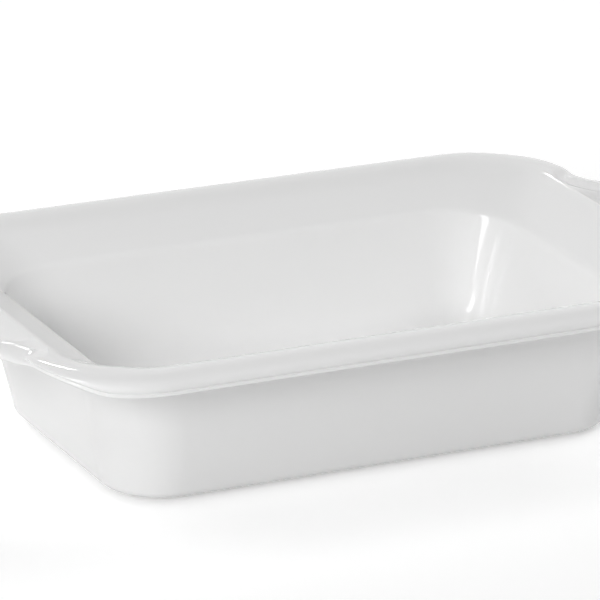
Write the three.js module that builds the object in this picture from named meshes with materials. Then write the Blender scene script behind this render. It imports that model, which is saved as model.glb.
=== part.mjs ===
// Rectangular porcelain tapas dish with a rolled rim, two luted ears and a bare foot ring.
// Millimetres and degrees, +Z up. The origin is on the table, under the middle of the dish.
// X runs along the dish, from ear to ear.
import * as THREE from 'three';

// Rim: the crest is its highest line, with the inner roll on one side and the bead on the other
const crestLength = 166;
const crestWidth = 112;
const crestHeight = 40.2;
const crestCorner = 19.5;
const rollRadius = 16.5;
const beadReach = 4.5;
const lipEdge = 0.8;

// The lip thins round the corners, from the wall's thickness to this on the short sides
const shortLip = 2.2;
const thinningAngle = 57;

// Basin
const wall = 4.4;
const wallLean = 16;
const shoulderCorner = 16.5;
const leastCorner = 1.5;
const floorThickness = 4.4;
const floorFillet = 9;
const heelFillet = 3;

// Foot ring
const footHeight = 1.2;
const footWidth = 5;
const footInset = 2.5;
const footBevel = 0.4;

// Ears: tabs that flare out of the short sides, with a rounded edge and a hollow for the thumb
const earReach = 12.2;
const earFlare = 14;
const earCorner = 9;
const earTip = 0.5;
const earDrop = 0.4;
const earDepth = 2.2;
const earEdgeWidth = 4;
const earEdgeShare = 0.8;
const earArch = 0.15;
const hollowDepth = 2.2;
const hollowWidth = 46;
const seatAngle = 45;
const seam = 0.3;

// Fineness of the facets
const cornerSteps = 8;
const rollSteps = 8;
const beadSteps = 5;
const filletSteps = 5;
const edgeSteps = 2;
const earStations = 28;
const earCurveSteps = 8;

const { degToRad, lerp, smoothstep } = THREE.MathUtils;
const quarter = Math.PI / 2;

// Sizes that follow from those above
const lean = degToRad(wallLean);
const rollTurn = quarter - lean;
const rollCentre = crestHeight - rollRadius;
const rollWidth = rollRadius * Math.sin(rollTurn);
const base = footHeight;
const floor = base + floorThickness;
const earRoot = crestWidth / 2 - crestCorner;
const earTurn = Math.acos(1 - earReach / (earFlare + earCorner));
const earTipTurn = Math.acos(1 - (earTip + seam) / earFlare);
const earTipPlace = earRoot - earFlare * Math.sin(earTipTurn);
const earCrown = earRoot - (earFlare + earCorner) * Math.sin(earTurn);
const earLow = crestHeight - shortLip - seam - earTip;

// Section points are (offset outwards from the crest, height)
const at = (offset, height) => new THREE.Vector2(offset, height);

function arc(centre, radiusX, radiusZ, from, to, steps) {
  const curve = new THREE.EllipseCurve(centre.x, centre.y, radiusX, radiusZ, from, to, to < from);
  return curve.getPoints(steps);
}

// Rounded outer edge of the rim or an ear, from its underside up: a small arc, then a quarter round
function roundedEdge(reach, low, top, width, edge, until = quarter) {
  return [
    ...arc(at(reach - edge, low + edge), edge, edge, -quarter, 0, edgeSteps),
    ...arc(at(reach - width, low + edge), width, top - low - edge, 0, until, beadSteps).slice(1),
  ];
}

// Corner radius in plan: parallel to the crest outside it, eased to the basin's own corner inside it
function cornerAt(offset) {
  if (offset >= 0) return crestCorner + offset;
  if (offset > -rollWidth) return lerp(crestCorner, shoulderCorner, -offset / rollWidth);
  return Math.max(leastCorner, shoulderCorner + offset + rollWidth);
}

// Places round the dish: the steps of its four corners, which the straight sides join
const corners = [[1, 1], [-1, 1], [-1, -1], [1, -1]].flatMap(([signX, signY], corner) =>
  Array.from({ length: cornerSteps + 1 }, (_, step) => (
    { signX, signY, angle: (corner + step / cornerSteps) * quarter })));

function aroundDish({ signX, signY, angle }, { x: offset, y: height }) {
  const radius = cornerAt(offset);
  return new THREE.Vector3(
    signX * (crestLength / 2 + offset - radius) + radius * Math.cos(angle),
    signY * (crestWidth / 2 + offset - radius) + radius * Math.sin(angle),
    height,
  );
}

// Level rings of a section that may change round the dish
function ringsOf(sectionAt) {
  const sections = corners.map(sectionAt);
  return sections[0].map((_, k) => corners.map((corner, j) => aroundDish(corner, sections[j][k])));
}

// Closed body through rings of equal count: ends capped across the plane that flatten gives, or joined round
function loft(rings, flatten) {
  const count = rings[0].length;
  const spans = flatten ? rings.length - 1 : rings.length;
  const index = [];
  for (let span = 0; span < spans; span += 1) {
    const near = span * count;
    const far = ((span + 1) % rings.length) * count;
    for (let k = 0; k < count; k += 1) {
      const next = (k + 1) % count;
      index.push(near + k, near + next, far + next, near + k, far + next, far + k);
    }
  }
  if (flatten) {
    const first = THREE.ShapeUtils.triangulateShape(rings[0].map(flatten), []);
    const last = THREE.ShapeUtils.triangulateShape(rings[spans].map(flatten), []);
    const turned = THREE.ShapeUtils.isClockWise(rings[0].map(flatten));
    const put = ([a, b, c], start, flip) => index.push(start + a, start + (flip ? c : b), start + (flip ? b : c));
    first.forEach((face) => put(face, 0, !turned));
    last.forEach((face) => put(face, spans * count, turned));
  }
  const geometry = new THREE.BufferGeometry().setFromPoints(rings.flat());
  geometry.setIndex(volume(rings.flat(), index) < 0 ? index.reverse() : index);
  geometry.computeVertexNormals();
  return geometry;
}

function volume(points, index) {
  let sum = 0;
  for (let k = 0; k < index.length; k += 3) {
    const [a, b, c] = [points[index[k]], points[index[k + 1]], points[index[k + 2]]];
    sum += a.dot(new THREE.Vector3().crossVectors(b, c)) / 6;
  }
  return sum;
}

// Centre of a fillet that touches a leaning wall through a point and a level at a height
function filletCentre(wallPoint, level, radius) {
  const height = level + radius;
  return at(wallPoint.x - radius / Math.cos(lean) + Math.tan(lean) * (height - wallPoint.y), height);
}

// The ends of the rim's rolls, where the walls start, and the fillets at the walls' feet
const rollPoint = (radius) => at(-radius * Math.sin(rollTurn), rollCentre + radius * Math.cos(rollTurn));
const heel = filletCentre(rollPoint(rollRadius - wall), base, heelFillet);
const basinFoot = filletCentre(rollPoint(rollRadius), floor, floorFillet);

// Section of the dish, from its underside out, over the rim and down to the floor
function bodySection({ angle }) {
  const axis = at(0, rollCentre);
  const thinning = smoothstep(Math.abs(Math.cos(angle)), Math.cos(degToRad(thinningAngle)), 1);
  const lipHeight = crestHeight - lerp(wall, shortLip, thinning);
  return [
    ...arc(heel, heelFillet, heelFillet, -quarter, -lean, filletSteps),
    ...arc(axis, rollRadius - wall, rollRadius - wall, Math.PI - lean, quarter, rollSteps),
    ...roundedEdge(beadReach, lipHeight, crestHeight, beadReach, lipEdge),
    ...arc(axis, rollRadius, rollRadius, quarter, Math.PI - lean, rollSteps).slice(1),
    ...arc(basinFoot, floorFillet, floorFillet, -lean, -quarter, filletSteps),
  ];
}

function footSection() {
  const outer = heel.x - footInset;
  const inner = outer - footWidth;
  return [
    at(outer, footHeight), at(outer, footBevel), at(outer - footBevel, 0),
    at(inner + footBevel, 0), at(inner, footBevel), at(inner, footHeight),
  ];
}

// Outer edge of an ear in plan, from tip to tip: points are (place along the short side, offset from the crest)
function earOutline() {
  const flareCentre = beadReach + earFlare;
  const cornerCentre = beadReach + earReach - earCorner;
  return new THREE.Path()
    .absarc(earRoot, flareCentre, earFlare, -quarter - earTipTurn, -quarter - earTurn, true)
    .absarc(earCrown, cornerCentre, earCorner, quarter - earTurn, quarter, false)
    .absarc(-earCrown, cornerCentre, earCorner, quarter, quarter + earTurn, false)
    .absarc(-earRoot, flareCentre, earFlare, earTurn - quarter, earTipTurn - quarter, true)
    .getSpacedPoints(earStations);
}

// Closed section of an ear, from a place on the rim's short side to a point of the ear's outline
function earSection(seatPlace, { x: edgePlace, y: edge }) {
  const share = (edge - beadReach) / earReach;
  const hollow = 1 - smoothstep(Math.abs(seatPlace), 0, hollowWidth / 2);
  const seatLow = crestHeight - shortLip - seam;
  const seatReach = beadReach + seam;
  const seat = roundedEdge(
    seatReach, seatLow, crestHeight + seam, seatReach, lipEdge + seam, quarter - degToRad(seatAngle),
  ).reverse();

  const top = lerp(seat[0].y, crestHeight - earDrop, share);
  const width = Math.min(earEdgeWidth, (edge - seat[0].x) * earEdgeShare);
  const rim = roundedEdge(edge, earLow, top, width, lipEdge);
  const seatEnd = seat.at(-1);
  const bellyLow = at(lerp(seatEnd.x, rim[0].x, 1 / 2), earLow - 2 * earDepth * share);
  const belly = new THREE.QuadraticBezierCurve(seatEnd, bellyLow, rim[0]).getPoints(earCurveSteps).slice(1, -1);
  const rimEnd = rim.at(-1);
  const back = Array.from({ length: earCurveSteps - 1 }, (_, k) => {
    const along = (k + 1) / earCurveSteps;
    const swell = Math.sin(Math.PI * along);
    const rise = lerp(earArch * swell, -hollowDepth * swell ** 2, hollow);
    return at(lerp(rimEnd.x, seat[0].x, along), lerp(rimEnd.y, seat[0].y, along) + rise);
  });
  return [...seat, ...belly, ...rim, ...back].map(({ x: offset, y: height }) => {
    const along = Math.max(0, (offset - seatReach) / (edge - seatReach));
    return new THREE.Vector3(crestLength / 2 + offset, lerp(seatPlace, edgePlace, along), height);
  });
}

function ear() {
  const sections = earOutline().map((point, k) =>
    earSection(lerp(earTipPlace, -earTipPlace, k / earStations), point));
  return loft(sections, ({ x, z }) => new THREE.Vector2(x, z));
}

const glaze = new THREE.MeshStandardMaterial({ color: 0xf3f3f1, roughness: 0.1, metalness: 0 });
const bisque = new THREE.MeshStandardMaterial({ color: 0xe6e1d6, roughness: 0.85, metalness: 0 });

function piece(name, geometry, material) {
  const mesh = new THREE.Mesh(geometry, material);
  mesh.name = name;
  return mesh;
}

const dish = new THREE.Group();
dish.add(piece('dish_body', loft(ringsOf(bodySection), ({ x, y }) => new THREE.Vector2(x, y)), glaze));
dish.add(piece('foot_ring', loft(ringsOf(footSection)), bisque));
dish.add(piece('right_ear', ear(), glaze));
const leftEar = piece('left_ear', ear(), glaze);
leftEar.rotation.z = Math.PI;
dish.add(leftEar);

export default dish;
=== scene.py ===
"""Glazed porcelain tapas dish: its glazed skin, its bare foot ring and a plain photo stage.

Lengths are metres and angles radians. X runs along the dish from ear to ear, and +Z is up.
"""

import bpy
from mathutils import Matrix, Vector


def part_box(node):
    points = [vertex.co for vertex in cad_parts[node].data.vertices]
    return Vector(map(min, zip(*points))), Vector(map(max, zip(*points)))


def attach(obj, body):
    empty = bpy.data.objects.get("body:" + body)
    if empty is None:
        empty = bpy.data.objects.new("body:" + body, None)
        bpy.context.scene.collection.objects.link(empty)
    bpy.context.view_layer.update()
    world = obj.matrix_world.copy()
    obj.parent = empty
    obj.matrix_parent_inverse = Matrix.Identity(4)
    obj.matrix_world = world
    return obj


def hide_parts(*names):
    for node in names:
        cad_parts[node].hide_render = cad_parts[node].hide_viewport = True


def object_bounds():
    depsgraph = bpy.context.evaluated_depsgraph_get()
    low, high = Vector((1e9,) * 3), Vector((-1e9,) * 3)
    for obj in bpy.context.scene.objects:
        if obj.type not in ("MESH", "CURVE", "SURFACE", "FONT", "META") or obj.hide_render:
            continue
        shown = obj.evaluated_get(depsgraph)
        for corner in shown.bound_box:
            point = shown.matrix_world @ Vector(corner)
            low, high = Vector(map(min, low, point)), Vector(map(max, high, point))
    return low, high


bl_info = {
    "name": "Tapas dish",
    "version": (1, 0, 0),
    "blender": (4, 5, 0),
    "location": "3D View > Sidebar > Tapas dish",
    "description": "Makes a glazed porcelain tapas dish, its bare foot ring and a stage to show it on",
    "category": "Object",
}

import math
from types import SimpleNamespace
from typing import NamedTuple

import bpy
from bpy.props import FloatProperty, FloatVectorProperty, PointerProperty
from mathutils import Matrix, Vector

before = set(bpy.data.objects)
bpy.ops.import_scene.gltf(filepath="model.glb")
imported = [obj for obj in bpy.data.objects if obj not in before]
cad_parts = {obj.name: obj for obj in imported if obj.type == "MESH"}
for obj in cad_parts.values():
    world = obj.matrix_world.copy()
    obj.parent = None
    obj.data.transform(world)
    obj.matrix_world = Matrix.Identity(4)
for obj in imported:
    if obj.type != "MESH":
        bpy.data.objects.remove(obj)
CAD_BOX = [list(corner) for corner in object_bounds()]
BODY_LOW, BODY_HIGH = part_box("dish_body")

MM = 0.001
QUARTER = math.pi / 2

# The rim: its bead and crest, how far the hollow follows the bead, and the lip's share of the rows on top
BEAD_REACH = 4.5 * MM
CREST_LENGTH = BODY_HIGH.x - BODY_LOW.x - 2 * BEAD_REACH
CREST_WIDTH = BODY_HIGH.y - BODY_LOW.y - 2 * BEAD_REACH
BEAD_HOLD = 0.35
LIP_SHARE = 0.2
SEAM_MERGE = 0.004 * MM

# Rows of the glazed skin's mesh, in the order in which its section is walked
SKIN_ROWS = {
    "base": 3, "heel": 8, "outer wall": 4, "outer roll": 16, "underside": 16, "lip edge": 6, "top": 44,
    "crest round": 14, "slope": 6, "shoulder": 12, "inner wall": 10, "floor fillet": 16, "floor": 4,
}
FOOT_ROWS = {"inner side": 2, "inner bevel": 4, "tread": 4, "outer bevel": 4, "outer side": 2, "top": 2}

# Stations round the dish: a short side, a corner, a long side and a corner, twice
SIDE_STATIONS = (120, 32, 24, 32)


class Noise(NamedTuple):
    """A noise pattern: its waves for each metre, and how many finer layers it has."""

    scale: float
    detail: float


# The glaze: where it gathers and runs thin, and its patterns
NOISE_MIDDLE = 0.5
THIN_FADE = 3.0
POOL_EASE = (0.0, 0.8)
POOL_ON_FLOOR = 0.6
POOL_SHARE = 0.7
CLOUD_SHARE = 0.5
THIN_LEAST = 0.4
GLAZE_CLOUDS = Noise(38.0, 3.0)
GLAZE_WAVES = Noise(45.0, 1.0)
GLAZE_PORES = Noise(620.0, 2.0)
PORE_DEPTH = 0.04
PORE_ROUGHNESS = 0.05
GLAZE_IOR = 1.5

# The bare clay: its patterns, its grit and the rubbing of its tread
CLAY_CLOUDS = Noise(90.0, 4.0)
CLAY_SAND = Noise(1900.0, 2.0)
GRIT_SCALE = 900.0
SPECK_EDGE = (0.10, 0.22)
SPECK_DEPTH = 0.3
WORN_EDGE = (0.35, 0.7)
WORN_SHARE = 0.8
SAND_ROUGHNESS = 0.1
WORN_POLISH = 0.08

# The stage: the surround's fade from front to back, the floor in metres and the camera's film and reach
BACK_FADE = (-0.2, 0.7)
FLOOR_HALF = 12.0
FILM_WIDTH = 36.0
CAMERA_REACH = 100.0


class Softbox(NamedTuple):
    """A soft lamp round the dish: its place in degrees and metres, and how bright it looks in a mirror.

    A mirrored one shows in the glaze and lights nothing. The others light the dish and don't show in it.
    """

    name: str
    azimuth: float
    elevation: float
    distance: float
    width: float
    height: float
    radiance: float
    mirrored: bool


SOFTBOXES = (
    Softbox("key", -134, 24, 1.35, 0.50, 0.40, 12.8, False),
    Softbox("left_fill", -73, 45, 1.35, 0.50, 0.50, 2.7, False),
    Softbox("back_card", 0, 18, 1.50, 1.10, 0.50, 5.5, False),
    Softbox("side_box", 88, 45, 1.42, 0.80, 0.70, 3.2, False),
    Softbox("left_strip", -101, 32, 1.30, 0.30, 0.95, 6.0, True),
    Softbox("upper_pane", 15, 31.9, 1.40, 0.15, 0.009, 40.0, True),
    Softbox("lower_pane", 15, 31.1, 1.40, 0.15, 0.009, 40.0, True),
)


def length(name, description, default):
    return FloatProperty(name=name, description=description, default=default, precision=4, unit="LENGTH")


def angle(name, description, degrees):
    return FloatProperty(name=name, description=description, default=math.radians(degrees), unit="ROTATION")


def share(name, description, default):
    return FloatProperty(name=name, description=description, default=default, min=0.0, max=1.0,
                         subtype="FACTOR")


def amount(name, description, default):
    return FloatProperty(name=name, description=description, default=default, min=0.0)


def tint(name, description, default):
    return FloatVectorProperty(name=name, description=description, default=default, size=3,
                               min=0.0, max=1.0, subtype="COLOR")


def place(name, description, default):
    return FloatVectorProperty(name=name, description=description, default=default, size=3,
                               subtype="XYZ", unit="LENGTH")


class DishSizes(bpy.types.PropertyGroup):
    """Sizes of the dish, its ears and its foot ring."""

    crest_length: length("Crest length", "Length of the rim's highest line", CREST_LENGTH)
    crest_width: length("Crest width", "Width of the rim's highest line", CREST_WIDTH)
    crest_height: length("Crest height", "Height of the rim above the table", BODY_HIGH.z)
    crest_corner: length("Crest corner", "Corner radius of the rim's highest line", 19.5 * MM)
    roll_radius: length("Roll radius", "Outer radius of the roll from the wall up to the rim", 16.5 * MM)
    bead_reach: length("Bead reach", "How far the rim's bead stands out from the crest", BEAD_REACH)
    bead_undercut: angle("Bead undercut", "How far the bead's round goes on under its outermost line", 34)
    lip_edge: length("Lip edge", "Rounding of the thin lip under the bead", 0.45 * MM)
    short_lip: length("Short side lip", "Thickness of the lip on the short sides", 2.2 * MM)
    thinning_angle: angle("Thinning angle", "Turn of a corner over which the lip thins", 57)
    wall: length("Wall", "Thickness of the walls", 4.4 * MM)
    short_roll: length("Short side roll", "Thickness of the rim's roll on the short sides", 3.3 * MM)
    wall_lean: angle("Wall lean", "Lean of the walls from upright", 16)
    inner_lean: angle("Inner lean", "Lean of the basin's walls from upright", 16)
    slope_turn: angle("Rim slope", "Slope of the rim from its crest down to the shoulder", 34)
    ear_slope: angle("Rim slope at the ears", "The same slope behind an ear", 29)
    shoulder_inset: length("Shoulder inset", "How far the shoulder lies inside the crest", 16.3 * MM)
    shoulder_drop: length("Shoulder drop", "How far the shoulder lies under the crest", 8.0 * MM)
    shoulder_edge: length("Shoulder edge", "Rounding of the shoulder", 3.5 * MM)
    shoulder_corner: length("Shoulder corner", "Corner radius where the rim meets the wall", 16.5 * MM)
    least_corner: length("Least corner", "Smallest corner radius of floor and base", 1.5 * MM)
    floor_thickness: length("Floor thickness", "Thickness of the floor", 4.4 * MM)
    floor_fillet: length("Floor fillet", "Rounding between walls and floor", 9.0 * MM)
    heel_fillet: length("Heel fillet", "Rounding between walls and base", 3.0 * MM)
    ear_reach: length("Ear reach", "How far the ears stand out from the bead", BODY_LOW.x - CAD_BOX[0][0])
    ear_lead: length("Ear lead", "Run of the corner over which the bead starts to swing out", 4.0 * MM)
    ear_flare: length("Ear flare", "Radius by which the bead swings out into an ear", 26.0 * MM)
    flare_turn: angle("Flare turn", "How far the bead turns in that swing", 28)
    ear_root: length("Ear root", "Tighter radius that follows", 4.5 * MM)
    side_turn: angle("Side turn", "Turn of an ear's side from the rim", 75)
    ear_sink: length("Ear sink", "How far the ear's lower edge lies under the lip's", 0.8 * MM)
    ear_drop: length("Ear drop", "How far the ear's bead lies under the crest", 0.2 * MM)
    ear_belly: length("Ear belly", "Depth of the ear's swelling underside", 1.5 * MM)
    ear_bead: length("Ear bead", "Width of the ear's rounded edge", 4.5 * MM)
    ear_onset: length("Ear onset", "Flare over which the rim's bead becomes the ear's", 1.6 * MM)
    ridge_turn: angle("Ridge turn", "Turn of the crest's round that an ear's hollow cuts away", 17)
    hollow_depth: length("Hollow depth", "Depth of the thumb hollow", 2.4 * MM)
    hollow_ease: amount("Hollow ease", "How evenly the hollow deepens from the ear's root", 0.65)
    foot_height: length("Foot height", "Height of the foot ring", BODY_LOW.z)
    foot_width: length("Foot width", "Width of the foot ring's wall", 5.0 * MM)
    foot_inset: length("Foot inset", "How far the foot ring lies in from the heel", 2.5 * MM)
    foot_bevel: length("Foot bevel", "Rounding of the foot ring's edges", 0.4 * MM)


class GlazeLook(bpy.types.PropertyGroup):
    """Colours and gloss of the white glaze."""

    body_tint: tint("Glaze", "Colour of the glaze", (0.94, 0.94, 0.938))
    pool_tint: tint("Pooled glaze", "Colour where the glaze gathers", (0.92, 0.925, 0.93))
    thin_tint: tint("Thin glaze", "Colour where the glaze runs thin over an edge", (0.95, 0.945, 0.93))
    gloss: share("Roughness", "Roughness of the glaze", 0.06)
    orange_peel: length("Unevenness", "Depth of the glaze's long waves", 0.008 * MM)


class ClayLook(bpy.types.PropertyGroup):
    """Colours of the bare clay under the foot."""

    clay_tint: tint("Bare clay", "Colour of the unglazed clay", (0.72, 0.68, 0.60))
    grit_tint: tint("Grit", "Colour of the clay's grains", (0.52, 0.47, 0.39))
    worn_tint: tint("Worn tread", "Colour of the tread where it is rubbed", (0.60, 0.57, 0.52))
    roughness: share("Roughness", "Roughness of the bare clay", 0.88)
    grain: length("Grain", "Depth of the clay's grain", 0.06 * MM)


class StageLook(bpy.types.PropertyGroup):
    """Floor, light and camera."""

    floor_tint: tint("Floor", "Colour of the floor", (0.90, 0.90, 0.90))
    floor_lift: amount("Floor lift", "Light that the floor adds for the eye to reach white", 0.36)
    front_tint: tint("Front", "Colour of the light from the front", (0.22, 0.22, 0.22))
    back_tint: tint("Back", "Colour of the light from behind and above", (0.15, 0.15, 0.15))
    back_way: place("Back's middle", "Way to the middle of the light from behind", (0.38, 0.66, 0.64))
    backdrop_tint: tint("Backdrop", "Colour of the surround for the eye and in the glaze", (1.0, 1.0, 1.0))
    camera_azimuth: angle("Camera azimuth", "Turn of the camera to the left of the dish's front", 26.7504)
    camera_elevation: angle("Camera elevation", "Height of the camera above the table as an angle", 19.4693)
    camera_roll: angle("Camera roll", "Roll of the camera", 1.2309)
    camera_distance: length("Camera distance", "Distance from the camera to the plane it looks at", 1.19128)
    camera_aim: place("Camera aim", "Point in the middle of the picture", (0.001376, 0.009416, 0.026301))
    camera_lens: FloatProperty(name="Lens", description="Focal length in millimetres", default=304.47)


class Graph:
    """A node tree in the making."""

    def __init__(self, tree):
        self.tree = tree

    def add(self, kind, settings=None, inputs=None, output=0):
        """Adds a node: its settings come first, then the values or links of its sockets."""
        node = self.tree.nodes.new(kind)
        for key, value in (settings or {}).items():
            setattr(node, key, value)
        for key, value in (inputs or {}).items():
            if isinstance(value, Wire):
                self.tree.links.new(value.socket, node.inputs[key])
            else:
                node.inputs[key].default_value = value
        return Wire(self, node.outputs[output]) if len(node.outputs) else None

    def math(self, operation, *values):
        return self.add("ShaderNodeMath", {"operation": operation}, dict(enumerate(values)))

    def vector(self, x, y, z):
        return self.add("ShaderNodeCombineXYZ", inputs={"X": x, "Y": y, "Z": z})

    def noise(self, spot, pattern):
        return self.add("ShaderNodeTexNoise", inputs={
            "Vector": spot, "Scale": pattern.scale, "Detail": pattern.detail})

    def blend(self, amount, under, over):
        """Colour between two colours."""
        return self.add("ShaderNodeMix", {"data_type": "RGBA"}, {0: amount, 6: under, 7: over}, output=2)


class Wire:
    """A node's output in an expression: each operator adds the Math node that works it out."""

    def __init__(self, graph, socket):
        self.graph = graph
        self.socket = socket

    def __add__(self, other):
        return self.graph.math("ADD", self, other)

    def __radd__(self, other):
        return self.graph.math("ADD", other, self)

    def __sub__(self, other):
        return self.graph.math("SUBTRACT", self, other)

    def __rsub__(self, other):
        return self.graph.math("SUBTRACT", other, self)

    def __mul__(self, other):
        return self.graph.math("MULTIPLY", self, other)

    def __rmul__(self, other):
        return self.graph.math("MULTIPLY", other, self)

    def __truediv__(self, other):
        return self.graph.math("DIVIDE", self, other)

    def __rtruediv__(self, other):
        return self.graph.math("DIVIDE", other, self)

    def __pow__(self, other):
        return self.graph.math("POWER", self, other)

    def __neg__(self):
        return self.graph.math("MULTIPLY", self, -1.0)

    def __abs__(self):
        return self.graph.math("ABSOLUTE", self)

    def at_least(self, other):
        return self.graph.math("MAXIMUM", self, other)

    def at_most(self, other):
        return self.graph.math("MINIMUM", self, other)

    def clamped(self, low=0.0, high=1.0):
        return self.at_least(low).at_most(high)

    def smooth(self, low, high):
        """Eased share of the way from low to high."""
        return self.graph.add("ShaderNodeMapRange", {"interpolation_type": "SMOOTHSTEP"},
                              {"Value": self, "From Min": low, "From Max": high})


def sine(value):
    return value.graph.math("SINE", value) if isinstance(value, Wire) else math.sin(value)


def cosine(value):
    return value.graph.math("COSINE", value) if isinstance(value, Wire) else math.cos(value)


def between(start, end, part):
    return start + (end - start) * part


def bent(part, middle, end):
    """Way gone along a curve that sets out towards a middle point and ends at another."""
    near, far = 2 * part * (1 - part), part * part
    return tuple(near * by + far * to for by, to in zip(middle, end))


class Walk:
    """A section drawn as one walk of lines, arcs and curves, read at the row of each mesh point.

    It holds the offset outwards from the rim's crest, the slide along the rim and the height.
    """

    def __init__(self, row, offset, height):
        self.row = row
        self.rows_done = 0
        self.spot = (offset, 0.0, height)

    def curve(self, rows, path):
        """Goes on by a path that gives the way gone at a share from 0 to 1, and returns that share."""
        part = ((self.row - self.rows_done) / rows).clamped()
        self.spot = tuple(start + gone for start, gone in zip(self.spot, path(part)))
        self.rows_done += rows
        return part

    def line(self, rows, run, rise):
        return self.curve(rows, lambda part: (part * run, 0.0, part * rise))

    def arc(self, rows, radius, start, end, turned=0.0):
        """Goes on by an arc, in a section that is turned along the rim."""
        def path(part):
            turn = between(start, end, part)
            run = radius * (cosine(turn) - cosine(start))
            return run * cosine(turned), run * sine(turned), radius * (sine(turn) - sine(start))
        return self.curve(rows, path)


def sized_graph(name, sizes):
    """Geometry tree with a named input for each size: its graph, the inputs as wires, their identifiers."""
    tree = bpy.data.node_groups.new(name, "GeometryNodeTree")
    tree.interface.new_socket("Geometry", in_out="OUTPUT", socket_type="NodeSocketGeometry")
    identifiers = {}
    for key in type(sizes).__annotations__:
        rule = sizes.bl_rna.properties[key]
        socket = tree.interface.new_socket(rule.name, in_out="INPUT", socket_type="NodeSocketFloat")
        socket.description = rule.description
        socket.default_value = rule.default
        identifiers[key] = socket.identifier
    graph = Graph(tree)
    source = tree.nodes.new("NodeGroupInput")
    wires = {key: Wire(graph, source.outputs[k]) for k, key in enumerate(identifiers)}
    return graph, SimpleNamespace(**wires), identifiers


def sheet_of(graph, rows):
    """Grid of rows along the section and stations round the dish, with each point's row and station."""
    stations = 2 * sum(SIDE_STATIONS)
    grid = graph.add("GeometryNodeMeshGrid", inputs={
        "Size X": rows, "Size Y": stations, "Vertices X": rows + 1, "Vertices Y": stations + 1})
    position = graph.add("GeometryNodeInputPosition")
    apart = graph.add("ShaderNodeSeparateXYZ", inputs={0: position})
    across = Wire(graph, apart.socket.node.outputs["X"])
    along = Wire(graph, apart.socket.node.outputs["Y"])
    return grid, across + rows / 2, along + stations / 2


def station_place(station):
    """Where a station lies along the length and the width, from -1 to 1, and the way the rim faces there."""
    parts = []
    start = 0
    for count in SIDE_STATIONS * 2:
        parts.append(((station - start) / count).clamped())
        start += count
    right, corner_1, back, corner_2, left, corner_3, front, corner_4 = parts
    return SimpleNamespace(
        along=1 - 2 * back + 2 * front,
        across=2 * right - 2 * left - 1,
        facing=(corner_1 + corner_2 + corner_3 + corner_4) * QUARTER,
    )


def dish_rule(size):
    """Sizes that follow from the driving ones."""
    roll_turn = QUARTER - size.wall_lean
    rule = SimpleNamespace(
        roll_centre=size.crest_height - size.roll_radius,
        base=size.foot_height,
        floor=size.foot_height + size.floor_thickness,
        half_length=size.crest_length / 2,
        half_width=size.crest_width / 2,
        shoulder=(-size.shoulder_inset, size.crest_height - size.shoulder_drop),
    )

    def roll_end(radius):
        return -(radius * sine(roll_turn)), rule.roll_centre + radius * cosine(roll_turn)

    def fillet_centre(wall_point, lean, level, radius):
        offset, height = wall_point
        return offset + (sine(lean) * (level + radius - height) - radius) / cosine(lean)

    rule.roll_end = roll_end
    wall_top = roll_end(size.roll_radius - size.wall)
    rule.heel = fillet_centre(wall_top, size.wall_lean, rule.base, size.heel_fillet)
    rule.basin_foot = fillet_centre(rule.shoulder, size.inner_lean, rule.floor, size.floor_fillet)
    return rule


def round_dish(graph, size, rule, spot, walk):
    """Point of a section at a spot round the dish.

    Outside the crest it runs parallel to it, and inside it is eased to the basin's own corners.
    """
    offset, slide, height = walk.spot
    outside = offset.at_least(0)
    inside = (-offset).at_least(0)
    on_rim = inside.at_most(size.shoulder_inset)
    corner = (size.crest_corner + outside - (inside - on_rim)
              - (size.crest_corner - size.shoulder_corner) * on_rim / size.shoulder_inset)
    reach_x = rule.half_length + offset
    reach_y = rule.half_width + offset
    corner = corner.at_least(size.least_corner).at_most(reach_y)
    side = graph.math("SIGN", spot.across)
    return graph.vector(
        spot.along * (reach_x - corner) + corner * cosine(spot.facing),
        spot.across * (reach_y - corner) + corner * sine(spot.facing) + side * slide,
        height,
    )


def ear_edge(graph, size, rule, spot):
    """Outer edge of the ear that a spot of the rim leads to, and the plain bead away from the short sides.

    The edge is a gentle swing out of the rim, a tighter turn, a rounded corner and a straight crown.
    """
    swing, side = size.flare_turn, size.side_turn
    swing_flare = size.ear_flare * (1 - cosine(swing))
    root_flare = size.ear_root * (cosine(swing) - cosine(side))
    ear_corner = (size.ear_reach - swing_flare - root_flare) / (1 - cosine(side))
    swing_run = size.ear_flare * swing
    root_run = size.ear_root * (side - swing)
    corner_run = ear_corner * side
    half_side = rule.half_width - size.crest_corner
    used = (size.ear_flare * sine(swing) + size.ear_root * (sine(side) - sine(swing))
            + ear_corner * sine(side))
    crown = half_side + size.ear_lead - used

    seat = abs(spot.across) * half_side
    corner_turn = graph.math("ARCCOSINE", abs(cosine(spot.facing)))
    lead = (size.ear_lead - corner_turn * (size.crest_corner + size.bead_reach)).at_least(0)
    whole = swing_run + root_run + corner_run + crown - size.ear_lead
    run = lead + (half_side - seat) / half_side * whole
    first = run.at_most(swing_run) / size.ear_flare
    second = swing + (run - swing_run).clamped(0.0, root_run) / size.ear_root
    third = side - (run - swing_run - root_run).clamped(0.0, corner_run) / ear_corner
    straight = (run - swing_run - root_run - corner_run).at_least(0)
    flare = (size.ear_flare * (1 - cosine(first)) + size.ear_root * (cosine(swing) - cosine(second))
             + ear_corner * (cosine(third) - cosine(side)))
    gone = (size.ear_flare * sine(first) + size.ear_root * (sine(second) - sine(swing))
            + ear_corner * (sine(side) - sine(third)) + straight)
    return SimpleNamespace(
        reach=size.bead_reach + flare,
        slide=half_side + lead - gone - seat,
        turned=first + (second - swing) + (third - side),
        spread=flare / size.ear_reach,
        share=flare.smooth(0.0, size.ear_onset),
    )


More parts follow.
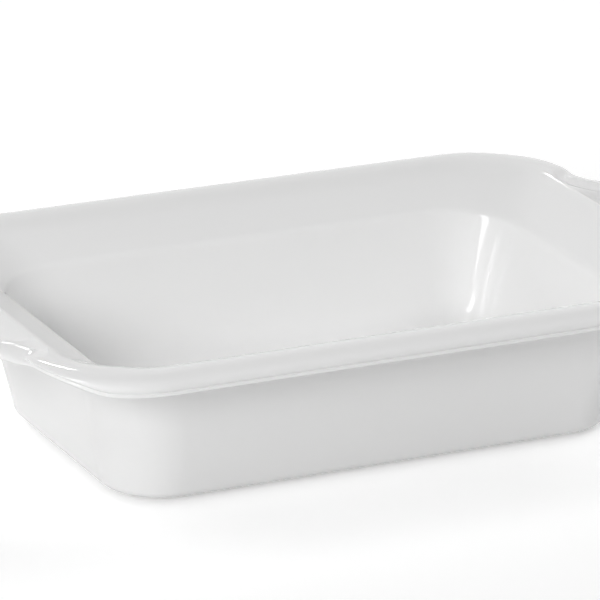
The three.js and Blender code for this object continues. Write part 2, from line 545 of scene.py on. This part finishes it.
def finish_tree(graph, mesh, material):
    """Ends a tree: closes the seams, smooths the shading and gives the material."""
    merged = graph.add("GeometryNodeMergeByDistance", inputs={"Geometry": mesh, "Distance": SEAM_MERGE})
    outward = graph.add("GeometryNodeFlipFaces", inputs={"Mesh": merged})
    smooth = graph.add("GeometryNodeSetShadeSmooth", inputs={"Geometry": outward})
    real = graph.add("GeometryNodeRealizeInstances", inputs={"Geometry": smooth})
    done = graph.add("GeometryNodeSetMaterial", inputs={"Geometry": real, "Material": material})
    graph.add("NodeGroupOutput", inputs={0: done})


def stored(graph, mesh, name, value):
    """Mesh with a named value on each point."""
    return graph.add("GeometryNodeStoreNamedAttribute", {"data_type": "FLOAT", "domain": "POINT"},
                     {"Geometry": mesh, "Name": name, "Value": value})


def skin_tree(sizes, material):
    """Glazed skin: a section walked from under the base, over the rim and down to the floor, all round."""
    graph, size, identifiers = sized_graph("glazed_skin", sizes)
    grid, row, station = sheet_of(graph, sum(SKIN_ROWS.values()))
    rule = dish_rule(size)
    spot = station_place(station)
    ear = ear_edge(graph, size, rule, spot)
    lean = size.wall_lean

    thinning = abs(cosine(spot.facing)).smooth(cosine(size.thinning_angle), 1.0)
    roll_wall = between(size.wall, size.short_roll, thinning)
    outer_roll = size.roll_radius - roll_wall
    under_rim = size.crest_height - roll_wall
    low = size.crest_height - between(size.wall, size.short_lip, thinning) - size.ear_sink * ear.share
    nose_start = low + size.lip_edge
    under_bead = 1 - cosine(size.bead_undercut)
    lip_reach = ear.reach - (size.bead_reach * under_bead - size.lip_edge) * (1 - ear.share)
    nose_top = size.crest_height - size.ear_drop * ear.share
    slope = between(size.slope_turn, size.ear_slope, thinning)
    crest_round = ((size.shoulder_inset * sine(slope) - size.shoulder_drop * cosine(slope))
                   / (1 - cosine(slope)))
    ridge_turn = size.ridge_turn * ear.share
    ridge = crest_round * sine(ridge_turn)
    ridge_top = size.crest_height - crest_round * (1 - cosine(ridge_turn))
    out, aside = cosine(ear.turned), sine(ear.turned)

    def underside(part):
        end = lip_reach - size.lip_edge * out, ear.slide - size.lip_edge * aside, low - under_rim
        middle = end[0] / 2, end[1] / 2, -(size.ear_belly * ear.spread)
        return bent(part, middle, end)

    def over_the_top(part):
        lip_turn = (part / LIP_SHARE).clamped() * QUARTER
        bead_turn = between(-size.bead_undercut, QUARTER, ((part - LIP_SHARE) / (1 - LIP_SHARE)).clamped())
        bead_run = (lip_reach - size.lip_edge + ridge) / cosine(size.bead_undercut)
        bead_rise = (ridge_top - nose_start - size.lip_edge) / (1 + sine(size.bead_undercut))
        run = (size.lip_edge * (cosine(lip_turn) - 1)
               + bead_run * (cosine(bead_turn) - cosine(size.bead_undercut)))
        rise = size.lip_edge * sine(lip_turn) + bead_rise * (sine(bead_turn) + sine(size.bead_undercut))
        plain = run, ear.slide * run / (lip_reach + ridge), rise

        nose = (part * 2).clamped()
        nose_run = size.ear_bead * (1 - cosine(nose * QUARTER))
        back = (part * 2 - 1).clamped()
        end = size.ear_bead * out - lip_reach - ridge, size.ear_bead * aside - ear.slide
        hold = end[0] * BEAD_HOLD
        along, across = bent(back, (hold * out, hold * aside), end)
        swell = sine(back * math.pi).at_least(0) ** (2 - back)
        depth = size.hollow_depth * ear.spread.at_least(0) ** size.hollow_ease
        climb = (nose_top - nose_start) * sine(nose * QUARTER) + (ridge_top - nose_top) * back
        eared = along - nose_run * out, across - nose_run * aside, climb - depth * swell
        return tuple(between(start, end, ear.share) for start, end in zip(plain, eared))

    walk = Walk(row, -rule.half_width, rule.base)
    wall_top = rule.roll_end(outer_roll)
    heel_end = rule.heel + size.heel_fillet * cosine(lean), rule.base + size.heel_fillet * (1 - sine(lean))
    inner = size.inner_lean
    half_turn = (QUARTER - inner - slope) / 2
    edge_run = size.shoulder_edge * sine(half_turn) / cosine(half_turn)
    slope_run = (size.shoulder_inset - crest_round * sine(slope)) / cosine(slope) - edge_run
    wall_start = rule.shoulder[0] - edge_run * sine(inner), rule.shoulder[1] - edge_run * cosine(inner)
    wall_end = (rule.basin_foot + size.floor_fillet * cosine(inner),
                rule.floor + size.floor_fillet * (1 - sine(inner)))
    walk.line(SKIN_ROWS["base"], rule.heel + rule.half_width, 0.0)
    walk.arc(SKIN_ROWS["heel"], size.heel_fillet, -QUARTER, -lean)
    walk.line(SKIN_ROWS["outer wall"], wall_top[0] - heel_end[0], wall_top[1] - heel_end[1])
    walk.arc(SKIN_ROWS["outer roll"], outer_roll, math.pi - lean, QUARTER)
    walk.curve(SKIN_ROWS["underside"], underside)
    edge = walk.arc(SKIN_ROWS["lip edge"], size.lip_edge, -QUARTER, 0.0, ear.turned)
    top = walk.curve(SKIN_ROWS["top"], over_the_top)
    walk.arc(SKIN_ROWS["crest round"], crest_round, QUARTER + ridge_turn, QUARTER + slope)
    walk.line(SKIN_ROWS["slope"], -(slope_run * cosine(slope)), -(slope_run * sine(slope)))
    walk.arc(SKIN_ROWS["shoulder"], size.shoulder_edge, QUARTER + slope, math.pi - inner)
    walk.line(SKIN_ROWS["inner wall"], wall_end[0] - wall_start[0], wall_end[1] - wall_start[1])
    fillet = walk.arc(SKIN_ROWS["floor fillet"], size.floor_fillet, -inner, -QUARTER)
    floor = walk.line(SKIN_ROWS["floor"], -rule.half_width - rule.basin_foot, 0.0)

    position = round_dish(graph, size, rule, spot, walk)
    skin = graph.add("GeometryNodeSetPosition", inputs={"Geometry": grid, "Position": position})
    skin = stored(graph, skin, "glaze_thin", (edge - top * THIN_FADE).clamped())
    skin = stored(graph, skin, "glaze_pool", fillet.smooth(*POOL_EASE) - floor * POOL_ON_FLOOR)
    finish_tree(graph, skin, material)
    return graph.tree, identifiers


def foot_tree(sizes, material):
    """Bare foot ring: a low section with rounded edges, walked round under the base."""
    graph, size, identifiers = sized_graph("foot_ring_rule", sizes)
    grid, row, station = sheet_of(graph, sum(FOOT_ROWS.values()))
    rule = dish_rule(size)
    spot = station_place(station)
    side = size.foot_height - size.foot_bevel
    walk = Walk(row, rule.heel - size.foot_inset - size.foot_width, size.foot_height)
    walk.line(FOOT_ROWS["inner side"], 0.0, -side)
    walk.arc(FOOT_ROWS["inner bevel"], size.foot_bevel, -math.pi, -QUARTER)
    tread = walk.line(FOOT_ROWS["tread"], size.foot_width - 2 * size.foot_bevel, 0.0)
    walk.arc(FOOT_ROWS["outer bevel"], size.foot_bevel, -QUARTER, 0.0)
    walk.line(FOOT_ROWS["outer side"], 0.0, side)
    walk.line(FOOT_ROWS["top"], -size.foot_width, 0.0)
    position = round_dish(graph, size, rule, spot, walk)
    ring = graph.add("GeometryNodeSetPosition", inputs={"Geometry": grid, "Position": position})
    ring = stored(graph, ring, "tread", (4 * tread * (1 - tread)).clamped())
    finish_tree(graph, ring, material)
    return graph.tree, identifiers


def grown_piece(name, tree, identifiers, sizes):
    """Object with the plain mesh that a geometry tree makes from the sizes."""
    piece = bpy.data.objects.new(name, bpy.data.meshes.new(name))
    bpy.context.scene.collection.objects.link(piece)
    modifier = piece.modifiers.new("Rule", "NODES")
    modifier.node_group = tree
    for key, identifier in identifiers.items():
        modifier[identifier] = getattr(sizes, key)
    depsgraph = bpy.context.evaluated_depsgraph_get()
    mesh = bpy.data.meshes.new_from_object(piece.evaluated_get(depsgraph), preserve_all_data_layers=True,
                                           depsgraph=depsgraph)
    piece.modifiers.clear()
    if not mesh.polygons:
        raise RuntimeError(f"{name} came out empty")
    mesh.name = name
    piece.data = mesh
    return piece


def new_material(name):
    """Node material with an empty tree, and its graph."""
    material = bpy.data.materials.new(name)
    material.use_nodes = True
    material.node_tree.nodes.clear()
    return material, Graph(material.node_tree)


def opaque(colour):
    return (*colour, 1.0)


def glaze_material(look):
    """Glossy white glaze: gathered in the basin's foot, thin over the edges, and not quite even."""
    material, graph = new_material("white_glaze")
    spot = graph.add("ShaderNodeTexCoord", output="Object")
    pool = graph.add("ShaderNodeAttribute", {"attribute_name": "glaze_pool"}, output="Fac")
    thin = graph.add("ShaderNodeAttribute", {"attribute_name": "glaze_thin"}, output="Fac")
    clouds = graph.noise(spot, GLAZE_CLOUDS)
    waves = graph.noise(spot, GLAZE_WAVES)
    pores = graph.noise(spot, GLAZE_PORES)

    gathered = (pool * POOL_SHARE + (clouds - NOISE_MIDDLE) * CLOUD_SHARE).clamped()
    colour = graph.blend(gathered, opaque(look.body_tint), opaque(look.pool_tint))
    colour = graph.blend(thin * (THIN_LEAST + clouds), colour, opaque(look.thin_tint))
    bump = graph.add("ShaderNodeBump", inputs={
        "Strength": 1.0, "Distance": look.orange_peel, "Height": waves + pores * PORE_DEPTH})
    shader = graph.add("ShaderNodeBsdfPrincipled", inputs={
        "Base Color": colour,
        "Roughness": look.gloss + (pores - NOISE_MIDDLE) * PORE_ROUGHNESS,
        "IOR": GLAZE_IOR,
        "Normal": bump,
    })
    graph.add("ShaderNodeOutputMaterial", inputs={"Surface": shader})
    return material


def clay_material(look):
    """Bare fired clay: gritty, matt, and rubbed grey on the tread."""
    material, graph = new_material("bare_clay")
    spot = graph.add("ShaderNodeTexCoord", output="Object")
    tread = graph.add("ShaderNodeAttribute", {"attribute_name": "tread"}, output="Fac")
    clouds = graph.noise(spot, CLAY_CLOUDS)
    sand = graph.noise(spot, CLAY_SAND)
    grit = graph.add("ShaderNodeTexVoronoi", inputs={"Vector": spot, "Scale": GRIT_SCALE})

    specks = 1 - grit.smooth(*SPECK_EDGE)
    worn = tread * clouds.smooth(*WORN_EDGE) * WORN_SHARE
    colour = graph.blend(worn, opaque(look.clay_tint), opaque(look.worn_tint))
    colour = graph.blend(specks * clouds, colour, opaque(look.grit_tint))
    bump = graph.add("ShaderNodeBump", inputs={
        "Strength": 1.0, "Distance": look.grain, "Height": sand - specks * SPECK_DEPTH})
    shader = graph.add("ShaderNodeBsdfPrincipled", inputs={
        "Base Color": colour,
        "Roughness": look.roughness + (sand - NOISE_MIDDLE) * SAND_ROUGHNESS - tread * WORN_POLISH,
        "Normal": bump,
    })
    graph.add("ShaderNodeOutputMaterial", inputs={"Surface": shader})
    return material


def seen_directly(graph):
    """1 for the eye, and for what is mirrored or seen through, and 0 for light that falls on a surface."""
    seen = graph.add("ShaderNodeLightPath", output="Is Camera Ray")
    outputs = seen.socket.node.outputs
    for kind in ("Is Glossy Ray", "Is Transmission Ray"):
        seen = seen.at_least(Wire(graph, outputs[kind]))
    return seen


def floor_material(look):
    """Pale matt floor that reaches white for the eye and keeps the dish's shadow."""
    material, graph = new_material("pale_floor")
    matt = graph.add("ShaderNodeBsdfDiffuse", inputs={"Color": opaque(look.floor_tint)})
    lift = graph.add("ShaderNodeEmission", inputs={"Strength": seen_directly(graph) * look.floor_lift})
    shader = graph.add("ShaderNodeAddShader", inputs={0: matt, 1: lift})
    graph.add("ShaderNodeOutputMaterial", inputs={"Surface": shader})
    return material


def make_floor(look):
    """Wide flat floor, which isn't part of the dish."""
    half = FLOOR_HALF
    corners = [(-half, -half, 0.0), (half, -half, 0.0), (half, half, 0.0), (-half, half, 0.0)]
    mesh = bpy.data.meshes.new("floor")
    mesh.from_pydata(corners, [], [(0, 1, 2, 3)])
    mesh.materials.append(floor_material(look))
    floor = bpy.data.objects.new("floor", mesh)
    bpy.context.scene.collection.objects.link(floor)


def make_surround(look):
    """Dim light from all round, and the white backdrop that the eye and the glaze see."""
    world = bpy.data.worlds.new("surround")
    world.use_nodes = True
    world.node_tree.nodes.clear()
    graph = Graph(world.node_tree)
    way = graph.add("ShaderNodeTexCoord", output="Generated")
    facing = graph.add("ShaderNodeVectorMath", {"operation": "DOT_PRODUCT"},
                       {0: way, 1: look.back_way}, output="Value")
    colour = graph.blend(facing.smooth(*BACK_FADE), opaque(look.front_tint), opaque(look.back_tint))
    colour = graph.blend(seen_directly(graph), colour, opaque(look.backdrop_tint))
    light = graph.add("ShaderNodeBackground", inputs={"Color": colour})
    graph.add("ShaderNodeOutputWorld", inputs={"Surface": light})
    bpy.context.scene.world = world


def way_to(azimuth, elevation):
    """Unit vector at an azimuth, clockwise from +Y, and an elevation."""
    level = math.cos(elevation)
    return Vector((math.sin(azimuth) * level, math.cos(azimuth) * level, math.sin(elevation)))


def make_softbox(box):
    """Soft rectangular lamp that faces the dish."""
    lamp = bpy.data.lights.new(box.name, "AREA")
    lamp.shape = "RECTANGLE"
    lamp.size = box.width
    lamp.size_y = box.height
    lamp.energy = box.radiance * math.pi * box.width * box.height
    holder = bpy.data.objects.new(box.name, lamp)
    azimuth, elevation = math.radians(box.azimuth), math.radians(box.elevation)
    away = way_to(azimuth, elevation)
    turn = (-away).to_track_quat("-Z", "Y").to_matrix().to_4x4()
    holder.matrix_world = Matrix.Translation(away * box.distance) @ turn
    holder.visible_camera = False
    holder.visible_diffuse = not box.mirrored
    holder.visible_glossy = box.mirrored
    bpy.context.scene.collection.objects.link(holder)


def make_camera(look):
    """Camera where the photograph was taken from."""
    azimuth, elevation, roll = look.camera_azimuth, look.camera_elevation, look.camera_roll
    forward = way_to(azimuth, -elevation)
    level = Vector((math.cos(azimuth), -math.sin(azimuth), 0.0))
    upright = level.cross(forward)
    right = math.cos(roll) * level + math.sin(roll) * upright
    up = math.cos(roll) * upright - math.sin(roll) * level
    data = bpy.data.cameras.new("photo_camera")
    data.lens = look.camera_lens
    data.sensor_width = FILM_WIDTH
    data.clip_end = CAMERA_REACH
    camera = bpy.data.objects.new("photo_camera", data)
    turn = Matrix((right, up, -forward)).transposed().to_4x4()
    stand = Vector(look.camera_aim) - forward * look.camera_distance
    camera.matrix_world = Matrix.Translation(stand) @ turn
    bpy.context.scene.collection.objects.link(camera)
    bpy.context.scene.camera = camera


class DISH_OT_glazed_skin(bpy.types.Operator):
    """Makes the glazed dish with its two ears as one skin"""

    bl_idname = "dish.glazed_skin"
    bl_label = "Glazed dish"

    def execute(self, context):
        sizes = context.scene.dish_sizes
        tree, identifiers = skin_tree(sizes, glaze_material(context.scene.glaze_look))
        skin = grown_piece("glazed_dish", tree, identifiers, sizes)
        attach(skin, "root")
        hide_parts("dish_body", "left_ear", "right_ear")
        return {"FINISHED"}


class DISH_OT_foot_ring(bpy.types.Operator):
    """Makes the bare foot ring that the dish stands on"""

    bl_idname = "dish.foot_ring"
    bl_label = "Foot ring"

    def execute(self, context):
        sizes = context.scene.dish_sizes
        tree, identifiers = foot_tree(sizes, clay_material(context.scene.clay_look))
        ring = grown_piece("bare_foot_ring", tree, identifiers, sizes)
        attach(ring, "root")
        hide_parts("foot_ring")
        return {"FINISHED"}


class DISH_OT_stage(bpy.types.Operator):
    """Makes the floor, the studio light and the camera"""

    bl_idname = "dish.stage"
    bl_label = "Stage"

    def execute(self, context):
        look = context.scene.stage_look
        make_floor(look)
        make_surround(look)
        for box in SOFTBOXES:
            make_softbox(box)
        make_camera(look)
        context.scene.view_settings.view_transform = "Standard"
        return {"FINISHED"}


class DISH_PT_panel(bpy.types.Panel):
    bl_idname = "DISH_PT_panel"
    bl_label = "Tapas dish"
    bl_space_type = "VIEW_3D"
    bl_region_type = "UI"
    bl_category = "Tapas dish"

    def draw(self, context):
        for operator in OPERATORS:
            self.layout.operator(operator.bl_idname)
        for key in LOOKS:
            group = getattr(context.scene, key)
            box = self.layout.box()
            for name in type(group).__annotations__:
                box.prop(group, name)


LOOKS = {"dish_sizes": DishSizes, "glaze_look": GlazeLook, "clay_look": ClayLook, "stage_look": StageLook}
OPERATORS = (DISH_OT_glazed_skin, DISH_OT_foot_ring, DISH_OT_stage)


def register():
    for cls in (*LOOKS.values(), *OPERATORS, DISH_PT_panel):
        bpy.utils.register_class(cls)
    for key, group in LOOKS.items():
        setattr(bpy.types.Scene, key, PointerProperty(type=group))


def unregister():
    for key in LOOKS:
        delattr(bpy.types.Scene, key)
    for cls in (DISH_PT_panel, *reversed(OPERATORS), *reversed(LOOKS.values())):
        bpy.utils.unregister_class(cls)


def main():
    register()
    bpy.ops.dish.glazed_skin()
    bpy.ops.dish.foot_ring()
    bpy.ops.dish.stage()


if __name__ == "__main__":
    main()
